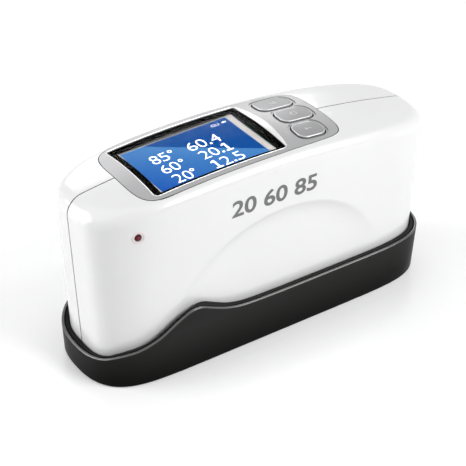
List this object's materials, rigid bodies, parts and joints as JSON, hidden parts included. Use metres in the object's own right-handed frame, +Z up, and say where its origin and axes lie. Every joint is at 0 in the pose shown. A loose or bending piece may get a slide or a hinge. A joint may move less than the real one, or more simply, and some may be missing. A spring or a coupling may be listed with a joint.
{
  "type": "gloss meter",
  "caption": "Pocket gloss meter with a blue display, three keys and three measuring angles, standing in its black calibration base.",
  "frame": {"origin": "centre of the calibration base's underside, on the table", "axes": "+X along the case from the display end to the plain end, -Y towards the side with the status lamp, +Z up"},
  "size_m": [0.1559, 0.0506, 0.0799],
  "materials": {
    "gloss_white": "gloss",
    "silver_paint": "satin silver paint",
    "grey_key": "satin",
    "satin_black": "satin",
    "dark_moulding": "matte",
    "window_glass": "polished",
    "blue_display": "lit display",
    "green_board": "satin",
    "zinc_steel": "zinc",
    "clear_optic": "polished",
    "lamp_epoxy": "clear epoxy",
    "sensor_can": "satin",
    "cell_sleeve": "shrink sleeve",
    "red_lens": "gloss",
    "tile_glass": "polished",
    "foam": "matte",
    "switch_moulding": "matte",
    "plunger_plastic": "matte"
  },
  "bodies": {
    "meter": {"front_shell": "gloss_white", "rear_shell": "gloss_white", "top_panel": "silver_paint", "display_window": "window_glass", "lcd_module": "blue_display", "lcd_holder": "dark_moulding", "calibration_base": "satin_black", "floor_plate": "dark_moulding", "optical_block": "dark_moulding", "battery_cradle": "dark_moulding", "battery_cell": "cell_sleeve", "main_board": "green_board", "charge_board": "green_board", "charge_socket": "zinc_steel", "status_lamp": "red_lens", "tile_pad": "foam", "calibration_tile": "tile_glass", "tile_retainer": "zinc_steel", "switch_mode": "switch_moulding", "switch_enter": "switch_moulding", "switch_return": "switch_moulding", "source_lens_20": "clear_optic", "receiver_lens_20": "clear_optic", "lamp_20": "lamp_epoxy", "detector_20": "sensor_can", "source_lens_60": "clear_optic", "receiver_lens_60": "clear_optic", "lamp_60": "lamp_epoxy", "detector_60": "sensor_can", "source_lens_85": "clear_optic", "receiver_lens_85": "clear_optic", "lamp_85": "lamp_epoxy", "detector_85": "sensor_can", "case_screw_1": "zinc_steel", "plate_screw_1": "zinc_steel", "case_screw_2": "zinc_steel", "plate_screw_2": "zinc_steel", "case_screw_3": "zinc_steel", "plate_screw_3": "zinc_steel", "case_screw_4": "zinc_steel", "plate_screw_4": "zinc_steel", "retainer_screw_1": "zinc_steel", "retainer_screw_2": "zinc_steel"},
    "mode_key": {"key_mode": "grey_key", "plunger_mode": "plunger_plastic"},
    "enter_key": {"key_enter": "grey_key", "plunger_enter": "plunger_plastic"},
    "return_key": {"key_return": "grey_key", "plunger_return": "plunger_plastic"}
  },
  "joints": [
    {"name": "mode_key_press", "type": "slide", "parent": "meter", "child": "mode_key", "axis": [0, 0, -1], "range_m": [0, 0.0005], "stiffness_N_per_m": 400, "springref_m": -0.001},
    {"name": "enter_key_press", "type": "slide", "parent": "meter", "child": "enter_key", "axis": [0, 0, -1], "range_m": [0, 0.0005], "stiffness_N_per_m": 400, "springref_m": -0.001},
    {"name": "return_key_press", "type": "slide", "parent": "meter", "child": "return_key", "axis": [0, 0, -1], "range_m": [0, 0.0005], "stiffness_N_per_m": 400, "springref_m": -0.001}
  ]
}
